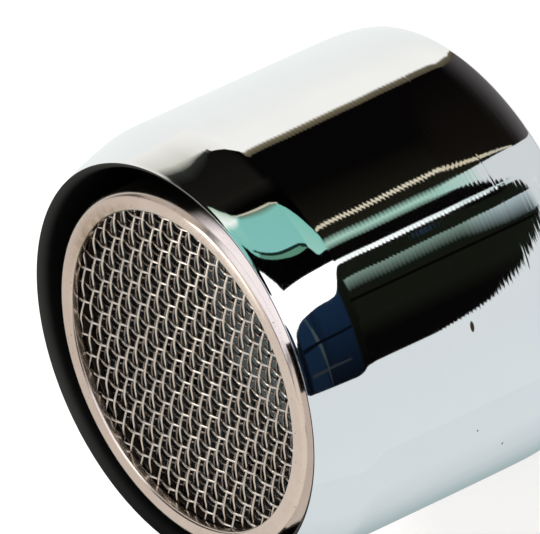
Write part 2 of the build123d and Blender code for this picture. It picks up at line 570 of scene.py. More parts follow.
nose_card("nose_tan", 3, [
    (15.3, -63.3, -63.7), (15.6, -62.2, -62.8), (16.0, -62.0, -62.7), (16.5, -61.7, -62.4),
    (17.0, -61.2, -61.8), (17.4, -60.6, -61.1), (17.7, -59.5, -60.0),
], dull_tan)
nose_card("olive_band", 3, [
    (15.4, -63.3, -64.2), (15.6, -62.8, -64.4), (16.0, -62.7, -64.6), (16.5, -62.4, -64.3),
    (17.0, -61.8, -63.5), (17.4, -61.1, -62.6),
], olive, teal)
nose_card("groove_band", 3, [
    (15.42, -76.4, -77.2), (15.6, -76.0, -77.4), (16.0, -75.9, -77.6), (16.4, -75.8, -77.4),
    (17.0, -75.2, -76.5), (17.4, -74.2, -75.4), (17.75, -72.6, -73.8),
], band_green)
nose_card("teal_groove", 4, [
    (15.36, -76.2, -77.3), (15.5, -75.4, -76.6), (15.8, -75.1, -75.9), (16.3, -75.0, -75.9),
    (16.7, -74.8, -75.7), (17.0, -74.4, -75.3), (17.3, -73.6, -74.6), (17.6, -72.4, -73.4),
    (17.85, -70.8, -71.5),
], groove_green)
nose_card("pale_corner", 3, [
    (17.48, -60.7, -61.4, teal), (17.62, -59.6, -61.5, dim_teal, white_teal), (17.8, -57.8, -61.6),
    (18.0, -55.6, -61.4), (18.6, -47.0, -58.0),
], pale_green, white_teal)
nose_card("pale_corner_fade", 3, [
    (17.48, -61.4, -62.0, teal), (17.62, -61.5, -63.4), (17.8, -61.6, -64.0), (18.0, -61.4, -64.0),
    (18.6, -58.0, -61.0),
], white_teal, teal)

# %% [markdown]
# ### White stripe and dark room
#
# Beyond the teal comes a white stripe, which widens on the nose to a bright patch, and then a dark room. A
# pale streak fades into the room. The room's far end is a black card in front of the green one, which is
# simpler than a room with walls.

# %% Hang the stripe and the room
white = (1.5, 1.5, 1.5)
stripe_white = (1.05, 1.12, 1.10)
stripe_grey = (0.55, 0.66, 0.67)
room_green = (0.0075, 0.0095, 0.0060)
streak_pale = (0.20, 0.29, 0.25)

far_card("dark_room", 0, [
    (-60, -77, -118), (-40, -77, -130), (-31, -77, -129.6), (-28, -77, -129.3),
], room_green)
far_card("room_corner", 1, [(-60, -105, -117.5), (-40, -108, -118), (-28, -108, -118)], room_green, black)
far_card("room_end", 1, [
    (-60, -117, -118), (-40, -117.9, -130), (-31, -117.9, -129.6), (-28, -117.9, -129.3),
], black)
far_card("room_line", 1, [(-40, -96.4, -97.8), (-28, -96.4, -97.8)], black)
far_card("streak", 1, [
    (-45, -85.2, -88), (-34, -85.1, -91.8), (-31.6, -86.9, -93.4), (-29.5, -86.0, -90.0, room_green),
], streak_pale, room_green)
far_card("white_stripe", 3, [
    (-45, -74.6, -76.6), (-36, -74.8, -77.2), (-34, -75.6, -77.6), (-32.8, -76.1, -78.4, stripe_white),
    (-31.4, -76.9, -79.4, white), (-29.5, -75.8, -79.6, white),
], stripe_grey)
nose_card("white_patch", 3, [
    (14.55, -82.8, -84.7), (14.75, -82.85, -86.3), (14.9, -82.9, -87.8), (15.05, -82.9, -89.2),
    (15.2, -82.95, -90.3), (15.4, -83.0, -90.9), (15.7, -83.05, -91.15), (16.1, -83.15, -91.25),
    (16.5, -83.3, -91.5), (17.0, -83.6, -92.2), (17.3, -83.9, -92.7), (17.5, -84.1, -93.2),
    (17.62, -84.3, -93.7), (17.72, -82.5, -94.2), (17.85, -80.2, -95.0), (18.0, -78.4, -96.4),
    (18.25, -75.5, -101), (18.6, -71, -108),
], white)
nose_card("nose_room", 0, [
    (14.55, -84, -109.7), (14.75, -84, -109.9), (14.9, -84, -110.1), (15.05, -84, -110.8),
    (15.2, -84, -111.2), (15.5, -84, -111.7), (16.0, -84, -111.8), (17.0, -84, -112.1),
    (18.6, -84, -112.6),
], room_green, black)

# %% [markdown]
# ### Window
#
# The nose looks higher than the body, so it shows a blue window in the room. The pane is one card, darker
# to one side, and its bars are thin cards in front of it.

# %% Hang the window
window_blue = (0.0085, 0.023, 0.055)
window_dusk = (0.0055, 0.013, 0.028)
window_night = (0.0025, 0.004, 0.007)
bar_pale = (0.05, 0.075, 0.08)
bar_dim = (0.022, 0.028, 0.034)

nose_card("window_pane", 1, [
    (15.0, -89.5, -110.2, room_green, black), (15.15, -90, -110.9), (16.5, -90.5, -111.8),
    (17.0, -91, -112.0, window_dusk, window_night), (17.1, -91, -112.0, window_blue, window_dusk),
    (17.85, -94, -112.1, window_blue, window_dusk), (17.98, -95, -112.1, window_night),
    (18.6, -104, -112.5, window_night),
], window_blue, window_night)
nose_card("window_sill_bar", 2, [
    (16.87, -103, -111.8, bar_dim), (16.95, -100, -111.8, bar_pale, bar_dim),
    (17.0, -98.6, -107, bar_pale, bar_dim), (17.08, -96.6, -101), (17.16, -95.0, -98.0),
    (17.26, -93.0, -95.4), (17.31, -92.8, -93.2),
], bar_pale)
nose_card("window_dark_bar", 2.5, [
    (15.1, -98.8, -99.5), (15.6, -99.1, -99.8), (17.0, -99.5, -100.3), (17.9, -100.2, -101.5),
], window_night)
nose_card("window_pale_bar", 2, [
    (15.5, -106.4, -106.8), (16.0, -106.5, -107.1), (16.6, -106.6, -107.3), (17.3, -107.0, -107.9),
    (17.8, -107.3, -108.3),
], bar_dim)

# %% [markdown]
# ### Table
#
# The pale table lies close to the shell, so it shows only towards the inlet end, where it covers the far
# cards from both sides. The low ends of the flag, of the tan line and of the streak are near cards too.
# Far below the room the floor is pale as well. Deep turning marks look down at it, and so they draw fine
# pale hairs across the dark.

# %% Hang the table and the floor
flag_olive = (0.0075, 0.0060, 0.0046)
flag_faint = (0.026, 0.024, 0.024)
table_pale = (0.70, 0.73, 0.74)
wall_pale = (0.75, 0.792, 0.811)
table_teal = (0.45, 0.64, 0.58)
low_streak = (0.42, 0.52, 0.55)
blue_spot = (0.014, 0.024, 0.045)

near_card("flag_low", 0, [
    (-3.5, -46.5, -75.4, flag_faint, flag_olive), (1.0, -46.5, -75.2), (2.0, -46.8, -75.1),
    (3.0, -47.2, -74.8), (4.0, -48, -74.4), (5.0, -52, -73.9), (5.8, -64, -73.1),
], black, flag_olive)
near_card("tan_low", 1, [
    (-1.0, -75.2, -75.7), (2.0, -75.0, -75.5), (3.0, -74.5, -75.3), (4.0, -74.3, -75.2, tan),
    (5.0, -73.8, -74.7, tan), (6.0, -73.1, -74.0, tan),
], dull_tan)
near_card("table_left", 0, [
    (-45, -67, -120), (-18, -73, -116), (-5, -75, -113), (-2.0, -75.4, -112), (0.2, -75.5, -98),
    (1.0, -75.6, -89), (1.6, -75.7, -86), (2.3, -75.8, -84), (2.9, -76.0, -82.6), (3.5, -76.2, -81.8),
    (4.2, -76.4, -81.0), (5.0, -76.7, -79.8, table_teal), (5.8, -77.0, -79.4, table_teal),
    (7.4, -77.6, -79.2, mid_teal),
], table_pale)
near_card("table_right", 0, [
    (-5, -84, -115), (0.0, -86, -115), (1.0, -91, -115), (1.8, -95, -115), (2.6, -98.4, -115),
    (3.3, -100.8, -115), (4.2, -103.2, -115), (5.2, -105.6, -115), (6.2, -107.3, -115),
    (8.0, -108.8, -115), (10.0, -109.6, -115),
], wall_pale)
near_card("stripe_end", 0, [
    (3.2, -83.0, -85), (4.0, -83.4, -85), (4.5, -83.9, -85), (6.0, -84.5, -85),
], black)
near_card("streak_end", 1, [
    (-3.0, -85.5, -94), (0.4, -86.5, -92), (1.4, -87.0, -91.5, table_pale, low_streak),
    (2.4, -87.2, -92.4, low_streak, room_green), (4.0, -87.5, -92.6, low_streak, room_green),
    (6.5, -88.0, -91.6, streak_pale, room_green),
], table_pale)
near_card("blue_spot", 0, [(8.2, -84.9, -86.2), (9.3, -84.9, -86.2)], blue_spot)
far_card("low_floor", 4, [
    (-60, -62, -134), (-39.5, -88, -132), (-37.4, -110, -132), (-36.5, -119, -132), (-35.8, -125, -132),
    (-35.2, -129.6, -132),
], wall_pale)

# %% [markdown]
# ### Soft boxes
#
# Two lights hang in the dark above. A long one on the far side lights the flat of the steel ring and one
# set of wires. A white one on the near side puts a streak on the rounded corners of the ring. The lower
# half of that corner looks into the gap, so bent strips of pale card stand in the gap. Three small boxes
# hang close to the core, one by the wires and two by the ring, so that only the metal near them shows
# them.

# %% Hang the soft boxes
ring_light = (0.80, 0.755, 0.745)
wire_light = (0.95, 0.91, 0.855)
soft_white = (1.29, 1.33, 1.52)
soft_grey = (0.03, 0.027, 0.025)
soft_beige = (0.66, 0.61, 0.59)
wire_white = (3.6, 3.5, 3.3)
ring_side = (0.62, 0.58, 0.56)
ring_low = (0.88, 0.84, 0.82)
wire_centre = Vector((-5.5, -4.5, 17.6)) * mm
side_centre = Vector((6.6, -6.9, 18.0)) * mm
low_centre = Vector((-3.7, -9.1, 18.0)) * mm
small_ball = 0.014
strip_radius = 10.55 * mm
strip_low, strip_high = 16.6, 18.1


def gap_strip(name, start, end, *paints):
    """Strip of card on the inner wall of the gap, from one turn to another."""
    def place(turn, height):
        return ray_towards(turn, 0) * strip_radius + Vector((0, 0, height * mm))
    hang_card(name, [(strip_low, start, end), (strip_high, start, end)], paints, near_step, place)


def small_box(name, centre, rows, *paints):
    """Card on a small ball round a point of the core."""
    def place(turn, height):
        return centre + ray_towards(turn, height) * small_ball
    hang_card(name, rows, paints, far_step, place)


far_card("long_box", 1, [
    (15, 66, 200), (25, 60, 205), (40, 58, 205), (52, 58, 200), (60, 48, 195), (70, 30, 180),
    (80, 10, 170),
], ring_light, wire_light)
far_card("white_box", 2, [
    (10, -34, -108), (40, -22, -106), (55, -8, -108), (65, 25, -118), (75, 45, -135), (84, 60, -150),
], soft_white)
gap_strip("gap_strip_fade", -40, -54, soft_grey, soft_white)
gap_strip("gap_strip", -54, -98, soft_white)
gap_strip("gap_strip_low", -114, -168, soft_beige)
small_box("wire_box", wire_centre, [(22, 16, -4), (35, 28, 3), (47, 52, 16)], wire_white)
small_box("ring_box", side_centre, [
    (10, 34, -30), (25, 50, -24), (40, 60, -12), (52, 62, 0), (60, 62, 10),
], ring_side)
small_box("ring_box_low", low_centre, [
    (16, -106, -156), (25, -106, -158), (45, -108, -166), (60, -114, -180), (70, -128, -196),
], ring_low)

# %% [markdown]
# ## Turned pieces
#
# The shell, the cap and the rubber ring were turned, pressed or cut round an axis. By hand one draws half
# of the section as a chain of points and spins it. A chain starts from a plane that is merged to a single
# point, which is then extruded from place to place. After the spin the seam is merged and the faces are
# turned out.

# %% Helpers that draw and spin a section
merge_reach = 0.001 * mm
smooth_angle = math.radians(35)


def turned_piece(name, section, axis_x, steps):
    """Draw a closed half section of (radius, height) points and spin it round an upright axis."""
    bpy.ops.object.select_all(action="DESELECT")
    bpy.ops.mesh.primitive_plane_add(size=mm)
    piece = bpy.context.object
    piece.name = name
    bpy.ops.object.mode_set(mode="EDIT")
    bpy.ops.mesh.select_all(action="SELECT")
    bpy.ops.mesh.merge(type="CENTER")
    places = [Vector((axis_x + radius, 0, height)) for radius, height in section]
    bpy.ops.transform.translate(value=places[0])
    for here, there in zip(places, places[1:] + places[:1]):
        bpy.ops.mesh.extrude_region_move(TRANSFORM_OT_translate={"value": there - here})
    bpy.ops.mesh.select_all(action="SELECT")
    bpy.ops.mesh.remove_doubles(threshold=merge_reach)
    bpy.ops.mesh.select_all(action="SELECT")
    bpy.ops.mesh.spin(steps=steps, angle=2 * math.pi, center=(axis_x, 0, 0), axis=(0, 0, 1))
    bpy.ops.mesh.select_all(action="SELECT")
    bpy.ops.mesh.remove_doubles(threshold=merge_reach)
    bpy.ops.mesh.normals_make_consistent(inside=False)
    bpy.ops.object.mode_set(mode="OBJECT")
    bpy.ops.object.shade_smooth_by_angle(angle=smooth_angle)
    print(f"{name}: {len(piece.data.polygons)} faces")
    return piece


def rounded_corner(centre, radius, start, end, points):
    """Points of an arc in the section, with angles in degrees from the radial direction."""
    angles = [math.radians(start + (end - start) * i / (points - 1)) for i in range(points)]
    return [(centre[0] + radius * math.cos(a), centre[1] + radius * math.sin(a)) for a in angles]


print("spin helpers ready")

# %% [markdown]
# ## Shell
#
# The shell is one turned brass piece. A cylinder with bevelled ends would have its size, but the mirrored
# stripes bend where the slope does. So the section is drawn by its slope: from height to height the radius
# shrinks by the tangent of the slope there. The inlet end comes first. It is drawn in gently, turns under,
# and closes with a small round edge.

# %% Draw the inlet end
draw_points = 17
inlet_length = 2.2 * mm
under_slope = 12.5
inlet_ease = 1.7
inlet_points = 16
inlet_edge = 0.13 * mm
edge_points = 8
socket_chamfer = 0.22 * mm


def inlet_slope(height):
    """Slope of the inlet end in degrees, taken downwards."""
    share = 1 - (height - inlet_edge) / (inlet_length - inlet_edge)
    return under_slope * max(0, share) ** inlet_ease - shell_slope(height)


def heights_between(start, end, count):
    """Even heights from a start to an end, without the end itself."""
    return [start + (end - start) * i / count for i in range(count)]


inlet_heights = heights_between(draw_length, inlet_length, draw_points)
inlet_heights += heights_between(inlet_length, inlet_edge, inlet_points) + [inlet_edge]
inlet_curve = [(body_radius, draw_length)]
for above, below in zip(inlet_heights, inlet_heights[1:]):
    slope = math.radians(inlet_slope((above + below) / 2))
    inlet_curve.append((inlet_curve[-1][0] - math.tan(slope) * (above - below), below))
end_slope = inlet_slope(inlet_edge)
edge_radius = inlet_edge / (1 - math.sin(math.radians(end_slope)))
edge_centre = (inlet_curve[-1][0] - edge_radius * math.cos(math.radians(end_slope)), edge_radius)
section = [(socket_radius, socket_chamfer), (socket_radius + socket_chamfer, 0.0)]
section += rounded_corner(edge_centre, edge_radius, -90, -end_slope, edge_points)
section += inlet_curve[-2::-1]
print(f"inlet edge radius {edge_radius / mm:.2f} mm, {len(section)} points so far")

# %% [markdown]
# The nose follows the slope that its cards were hung for. The rim leans inwards and is rounded into the
# bore, so it shows no bright line round the dark gap.

# %% Draw the nose and the rim
nose_points = 28
rim_round = 0.05 * mm
rim_points = 7
lip_lean = 36.0
lip_points = 9
bore_radius = 10.65 * mm

straight_middle = (draw_length + nose_start) / 2
section += [(body_radius, straight_middle), (body_radius, nose_start - inlet_edge), (body_radius, nose_start)]
nose_rise = (nose_length - rim_round) / nose_points
radius = body_radius
for i in range(nose_points):
    radius -= math.tan(math.radians(shell_slope(nose_start + (i + 0.5) * nose_rise))) * nose_rise
    section.append((radius, nose_start + (i + 1) * nose_rise))
rim_centre = (radius - rim_round, shell_length - rim_round)
section += rounded_corner(rim_centre, rim_round, rim_slope, 90 + lip_lean, rim_points)
lip_bend = (section[-1][0] - bore_radius) / (1 - math.sin(math.radians(lip_lean)))
lip_centre = (bore_radius + lip_bend, section[-1][1] - lip_bend * math.cos(math.radians(lip_lean)))
section += rounded_corner(lip_centre, lip_bend, 90 + lip_lean, 180, lip_points)[1:]
print(f"rim radius {radius / mm:.2f} mm at {(shell_length - rim_round) / mm:.2f} mm")

# %% [markdown]
# Inside, the section runs down the bore, round the ledge that carries the core, and past the relief at the
# end of the thread. A lathe tool leaves no sharp corner, so each one is cut off a little.

# %% Draw the inside and spin the shell
ledge_top = 11.4 * mm
ledge_face = 10.2 * mm
ledge_radius = 9.9 * mm
relief_radius = 11.3 * mm
edge_round = 0.06 * mm
shell_steps = 256

section += [
    (bore_radius, (shell_length + ledge_top) / 2),
    (bore_radius, ledge_top + edge_round),
    (bore_radius - edge_round, ledge_top),
    (ledge_radius + edge_round, ledge_top),
    (ledge_radius, ledge_top - edge_round),
    (ledge_radius, ledge_face + edge_round),
    (ledge_radius + edge_round, ledge_face),
    (relief_radius - edge_round, ledge_face),
    (relief_radius, ledge_face - edge_round),
    (relief_radius, socket_length + edge_round),
    (relief_radius - edge_round, socket_length),
    (socket_radius + edge_round, socket_length),
    (socket_radius, socket_length - edge_round),
]
shell = turned_piece("chromed_shell", section, 0, shell_steps)
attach(shell, "root")
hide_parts("housing")

# %% [markdown]
# ## Thread
#
# The socket has a fine right-hand thread with one ridge a millimetre. Rings would look alike from afar,
# but they wouldn't climb. A Screw modifier carries the ridge's section up and round in one go, as a lathe
# tool does.

# %% Screw the thread ridge
thread_pitch = 1.0 * mm
thread_depth = 0.541 * mm
thread_turns = 5
thread_steps = 128
thread_lift = 0.075 * mm
ridge_foot = 0.40 * mm
ridge_crest = 0.125 * mm
ridge_sink = 0.03 * mm
corners_in_order = (0, 2, 3, 1)

bpy.ops.object.select_all(action="DESELECT")
bpy.ops.mesh.primitive_plane_add(size=mm)
ridge = bpy.context.object
ridge.name = "socket_thread"
foot_radius = socket_radius + ridge_sink
crest_radius = socket_radius - thread_depth
corners = [
    (foot_radius, -ridge_foot),
    (foot_radius, ridge_foot),
    (crest_radius, ridge_crest),
    (crest_radius, -ridge_crest),
]
first_turn = (socket_length - thread_turns * thread_pitch) / 2 + thread_lift
for index, (out, up) in zip(corners_in_order, corners):
    ridge.data.vertices[index].co = (out, 0, first_turn + up)
bpy.ops.object.mode_set(mode="EDIT")
bpy.ops.mesh.select_all(action="SELECT")
bpy.ops.mesh.delete(type="ONLY_FACE")
bpy.ops.object.mode_set(mode="OBJECT")
screw = ridge.modifiers.new("thread", "SCREW")
screw.angle = 2 * math.pi
screw.screw_offset = thread_pitch
screw.iterations = thread_turns
screw.steps = thread_steps
screw.render_steps = thread_steps
screw.use_smooth_shade = True
bpy.ops.object.modifier_apply(modifier=screw.name)
print(f"thread: {len(ridge.data.polygons)} faces")

# %% [markdown]
# A real thread runs in and out over part of a turn. So the ridge is pushed back into the wall near both
# ends, and its open ends are closed. Moving the points is simpler than drawing a second, tapered ridge.

# %% Run the thread in and out
run_in = 0.25
least_ridge = 0.06

for vertex in ridge.data.vertices:
    out = math.hypot(vertex.co.x, vertex.co.y)
    turns = (vertex.co.z - first_turn) / thread_pitch
    fade = min(1, max(0, turns / run_in), max(0, (thread_turns - turns) / run_in))
    wanted = foot_radius - (foot_radius - out) * max(least_ridge, fade)
    vertex.co.x *= wanted / out
    vertex.co.y *= wanted / out
bpy.ops.object.mode_set(mode="EDIT")
bpy.ops.mesh.select_all(action="SELECT")
bpy.ops.mesh.fill_holes(sides=4)
bpy.ops.mesh.select_all(action="SELECT")
bpy.ops.mesh.normals_make_consistent(inside=False)
bpy.ops.object.mode_set(mode="OBJECT")
bpy.ops.object.shade_smooth_by_angle(angle=smooth_angle)
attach(ridge, "root")
print(f"thread closed: {len(ridge.data.polygons)} faces")

# %% [markdown]
# ## Steel cap
#
# The bright ring round the screens is the in-turned lip of a pressed cap. Pressing leaves a round outer
# corner and a soft inner edge, which catch the light, so both are arcs in the section.

# %% Spin the cap
cap_wall = 0.42 * mm
cap_round = 0.42 * mm
cap_points = 13
lip_width = 0.65 * mm
lip_thickness = 0.45 * mm
lip_round = 0.15 * mm
lip_edge_points = 6
cap_steps = 256

cap_inside = cap_radius - cap_wall
lip_radius = cap_inside - lip_width
lip_face = cap_high.z - lip_thickness
section = [(cap_inside, cap_low.z), (cap_radius, cap_low.z), (cap_radius, (cap_low.z + cap_high.z) / 2)]
corner_centre = (cap_radius - cap_round, cap_high.z - cap_round)
section += rounded_corner(corner_centre, cap_round, 0, 90, cap_points)
lip_centre = (lip_radius + lip_round, cap_high.z - lip_round)
section += rounded_corner(lip_centre, lip_round, 90, 180, lip_edge_points)
section += [(lip_radius, lip_face), (cap_inside, lip_face)]
cap = turned_piece("pressed_cap", section, core_x, cap_steps)
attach(cap, "root")
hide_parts("screen_cap")

# %% [markdown]
# ## Woven screens
#
# A screen is a plain weave: each wire goes over one cross wire and under the next. Every wire is a wavy
# line, so it is drawn as a curve with a round bevel and turned into a mesh. The two sets of wires have
# different pitches and aren't quite square to each other. A wire's wave has its crest where it crosses
# over, and the next wire has its crest one crossing further on. No wire lies quite straight, so each sways
# a little.

# %% A helper that draws one set of wires
wire_radius = 0.075 * mm
crimp = 0.080 * mm
points_per_wave = 14
fewest_points = 4
sway_depth = 0.022 * mm
sway_length = 5.5 * mm
sway_turn = 2.4


def along(angle):
    """Unit vector in the plane of the screen, and the one square to it."""
    return Vector((math.cos(angle), math.sin(angle))), Vector((-math.sin(angle), math.cos(angle)))


def wire_lines(disc, disc_radius, crest, height, own_angle, cross_angle, own_pitch, cross_pitch, first_wave):
    """Draw one set of parallel wires as wavy poly lines cut to the disc."""
    run, normal = along(own_angle)
    cross_normal = along(cross_angle)[1]
    spacing = cross_pitch / abs(run.dot(cross_normal))
    step = 2 * spacing / points_per_wave
    centre = Vector((core_x, 0))
    middle = (centre - crest).dot(normal) / own_pitch
    reach = disc_radius / own_pitch
    for number in range(math.ceil(middle - reach), math.floor(middle + reach) + 1):
        foot = crest + normal * own_pitch * number
        to_foot = foot - centre
        side = to_foot.dot(normal)
        if abs(side) > disc_radius - 2 * wire_radius:
            continue
        half = math.sqrt(disc_radius**2 - side**2) - wire_radius
        start = -to_foot.dot(run) - half
        count = max(fewest_points, math.ceil(2 * half / step))
        spline = disc.splines.new("POLY")
        spline.points.add(count)
        for i, point in enumerate(spline.points):
            along_wire = start + 2 * half * i / count
            place = foot + run * along_wire
            sway = sway_depth * math.sin(2 * math.pi * along_wire / sway_length + sway_turn * number)
            crossings = (place - crest).dot(cross_normal) / cross_pitch
            wave = first_wave * math.cos(math.pi * (crossings + number))
            place += normal * sway
            point.co = (place.x, place.y, height + crimp * wave, 1)


print(f"wire {2 * wire_radius / mm:.2f} mm thick")

# %% [markdown]
# Both screens are the same cloth, laid down a little apart. The second one shows through the first, so it
# is woven just as fully.

# %% Weave the two discs
weft_pitch, weft_angle = 0.735 * mm, math.radians(-44.3)
warp_pitch, warp_angle = 1.024 * mm, math.radians(50.2)
outlet_crest = Vector((-0.64, 2.89)) * mm
inner_crest = outlet_crest + Vector((0.10, 0.45)) * mm
screen_play = 0.12 * mm
wire_bevel = 2


def woven_screen(name, node_name, crest):
    """Weave both sets of wires into the space of a screen's solid and turn them into one mesh."""
    low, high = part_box(node_name)
    middle = (low.z + high.z) / 2
    disc = bpy.data.curves.new(name, "CURVE")
    disc.dimensions = "3D"
    disc.bevel_depth = wire_radius
    disc.bevel_resolution = wire_bevel
    disc.use_fill_caps = True
    disc_radius = cap_inside - screen_play
    wire_lines(disc, disc_radius, crest, middle, weft_angle, warp_angle, weft_pitch, warp_pitch, 1)
    wire_lines(disc, disc_radius, crest, middle, warp_angle, weft_angle, warp_pitch, weft_pitch, -1)
    screen = bpy.data.objects.new(name, disc)
    scene.collection.objects.link(screen)
    bpy.ops.object.select_all(action="DESELECT")
    screen.select_set(True)
    bpy.context.view_layer.objects.active = screen
    bpy.ops.object.convert(target="MESH")
    bpy.ops.object.shade_smooth()
    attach(screen, "root")
    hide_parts(node_name)
    print(f"{name}: {len(screen.data.polygons)} faces")
    return screen


outlet_weave = woven_screen("woven_outlet_screen", "outlet_screen", outlet_crest)
inner_weave = woven_screen("woven_inner_screen", "inner_screen", inner_crest)

# %% [markdown]
# ## Moulded and cut pieces
#
# The plates, the sleeve and the spacer already have their true form. What they lack is a softened edge. So
# a copy of each solid is merged to whole faces, and a small bevel rounds the edges that are sharp.

# %% Soften the edges of the small pieces
sleeve_edge = 0.08 * mm
plate_edge = 0.06 * mm
spacer_edge = 0.04 * mm
flat_angle = math.radians(1)
sharp_angle = math.radians(40)


def softened_copy(name, node_name, bevel):
    """Copy a solid, merge its loose triangles to flat faces and bevel its sharp edges."""
    source = frame["nodes"][node_name]
    piece = source.copy()
    piece.data = source.data.copy()
    piece.name = name
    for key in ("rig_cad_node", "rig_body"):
        if key in piece:
            del piece[key]
    piece.parent = None
    piece.data.materials.clear()
    scene.collection.objects.link(piece)
    bpy.ops.object.select_all(action="DESELECT")
    piece.select_set(True)
    bpy.context.view_layer.objects.active = piece
    bpy.ops.object.mode_set(mode="EDIT")
    bpy.ops.mesh.select_all(action="SELECT")
    bpy.ops.mesh.remove_doubles(threshold=merge_reach)
    bpy.ops.mesh.dissolve_limited(angle_limit=flat_angle)
    bpy.ops.object.mode_set(mode="OBJECT")
    edge = piece.modifiers.new("soft edge", "BEVEL")
    edge.width = bevel
    edge.segments = 3
    edge.limit_method = "ANGLE"
    edge.angle_limit = sharp_angle
    bpy.ops.object.modifier_apply(modifier=edge.name)
    bpy.ops.object.shade_smooth_by_angle(angle=smooth_angle)
    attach(piece, "root")
    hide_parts(node_name)
    print(f"{name}: {len(piece.data.polygons)} faces")
    return piece


sleeve = softened_copy("moulded_sleeve", "core_sleeve", sleeve_edge)
jets = softened_copy("moulded_jet_plate", "jet_plate", plate_edge)
strainer = softened_copy("moulded_strainer", "inlet_strainer", plate_edge)
spacer = softened_copy("spacer_ring", "screen_spacer", spacer_edge)

# %% [markdown]
# ## Rubber ring
#
# The seal is a flat ring of rubber between the spout and the core. Soft rubber has no sharp edges, so its
# section is a rectangle with four round corners.

# %% Spin the rubber ring
washer_bore = 8.0 * mm
washer_round = 0.18 * mm
washer_points = 6
washer_steps = 160

washer_low, washer_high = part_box("sealing_washer")
outer, inner = washer_high.x - washer_round, washer_bore + washer_round
bottom, top = washer_low.z + washer_round, washer_high.z - washer_round
section = []
for i, centre in enumerate([(outer, bottom), (outer, top), (inner, top), (inner, bottom)]):
    section += rounded_corner(centre, washer_round, 90 * (i - 1), 90 * i, washer_points)
washer = turned_piece("rubber_ring", section, 0, washer_steps)
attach(washer, "root")
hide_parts("sealing_washer")

# %% [markdown]
# ## Finishes
#
# Every finish starts from the Principled shader, with its constant values on the shader's own sockets.
# Patterns read the place on the object in millimetres, so a scale of 1 means about one blot a millimetre.

# %% Helpers for the finishes
def finish(name, **values):
    """Make a Principled material; return it with its tree, its shader and the place in millimetres."""
    material, tree = new_material(name)
    constants = {socket.replace("_", " "): value for socket, value in values.items()}
    shader = node(tree, "BsdfPrincipled", constants)
    node(tree, "OutputMaterial", {"Surface": shader.outputs[0]})
    in_metres = node(tree, "TexCoord").outputs["Object"]
    place = node(tree, "VectorMath", {0: in_metres, "Scale": 1 / mm}, operation="SCALE").outputs[0]
    return material, tree, shader, place


def paint_with(tree, shader, **outputs):
    """Link outputs to the shader's sockets."""
    for socket, output in outputs.items():
        tree.links.new(output, shader.inputs[socket.replace("_", " ")])


def bump(tree, shader, height):
    """Feed a height in millimetres into the shader's normal."""
    relief = node(tree, "Bump", {"Strength": 1.0, "Distance": mm, "Height": height})
    paint_with(tree, shader, Normal=relief.outputs[0])


def noise(tree, place, scale, detail):
    """A noise pattern on a place in millimetres."""
    return node(tree, "TexNoise", {"Vector": place, "Scale": scale, "Detail": detail}).outputs[0]


def noise_along(tree, distance, scale, detail):
    """A noise pattern that changes along one distance only."""
    inputs = {"W": distance, "Scale": scale, "Detail": detail}
    return node(tree, "TexNoise", inputs, noise_dimensions="1D").outputs[0]


def clouded(name, dark, pale, shine, cloud_scale):
    """Metal with slight clouds of tone; the shine is the lowest and the highest roughness."""
    material, tree, shader, place = finish(name, Metallic=1.0)
    cloud = noise(tree, place, cloud_scale, detail=3.0)
    paint_with(tree, shader, Base_Color=mixed(tree, cloud, dark, pale), Roughness=spread(tree, cloud, *shine))
    return material


print("finish helpers ready")

# %% [markdown]
# ## Turning marks
#
# A lathe leaves very fine rings on whatever it turns, and plating doesn't quite hide them. They are too
# small to see by themselves, but they fray the edges of everything the metal mirrors. Two finishes use
# them, so they are a node group: a regular feed mark and an uneven one, both along a distance that the
# material gives. A round-nosed tool cuts shallow hollows with a ridge between them, so the regular mark is
# a row of parabolas.

# %% Build the group of turning marks
def turning_marks_group():
    """Height of fine turning marks, from a distance in millimetres, a feed and two depths."""
    group = bpy.data.node_groups.new("turning_marks", "ShaderNodeTree")
    for name in ("Distance", "Feed", "Regular", "Uneven"):
        group.interface.new_socket(name, in_out="INPUT", socket_type="NodeSocketFloat")
    group.interface.new_socket("Height", in_out="OUTPUT", socket_type="NodeSocketFloat")
    given = group.nodes.new("NodeGroupInput").outputs
    turns = maths(group, "DIVIDE", given["Distance"], given["Feed"])
    from_middle = maths(group, "MULTIPLY_ADD", maths(group, "FRACT", turns), 2.0, -1.0)
    hollow = maths(group, "POWER", from_middle, 2.0)
    regular = maths(group, "MULTIPLY", hollow, given["Regular"])
    rough = noise_along(group, turns, scale=1.3, detail=3.0)
    uneven = maths(group, "MULTIPLY", rough, given["Uneven"])
    made = group.nodes.new("NodeGroupOutput")
    group.links.new(maths(group, "ADD", regular, uneven), made.inputs["Height"])
    return group


turning_marks = turning_marks_group()
print("group:", turning_marks.name)

# %% [markdown]
# ### Chrome
#
# The plated shell mirrors almost everything. Rings of turning marks run round it and fray the edges of the
# mirrored bands. The uneven marks are deepest towards the inlet, the regular ones end at the nose, and
# long shallow waves bend the bands a little. One deeper groove and a few dark specks sit on the body.

# %% Make the chrome
mark_feed = 0.26
regular_low, regular_high, regular_from, regular_to = 0.00022, 0.0004, 2.0, 9.0
regular_fades, regular_ends = 14.0, 14.6
uneven_low, uneven_high, uneven_from, uneven_to = 0.0009, 0.0004, 1.0, 12.0
wave_depth = 0.004
groove_height, groove_width, groove_depth = 3.73, 0.12, 0.0008
chrome_cool, chrome_pale = (0.84, 0.85, 0.86, 1), (0.88, 0.89, 0.89, 1)
body_specks = [(-112.2, 8.05, 0.62, 0.26), (-142.3, 7.95, 0.14, 0.10), (-152.5, 5.75, 0.26, 0.10)]
speck_outer, speck_inner = 1.15, 0.75
speck_brown = (0.055, 0.035, 0.025, 1)


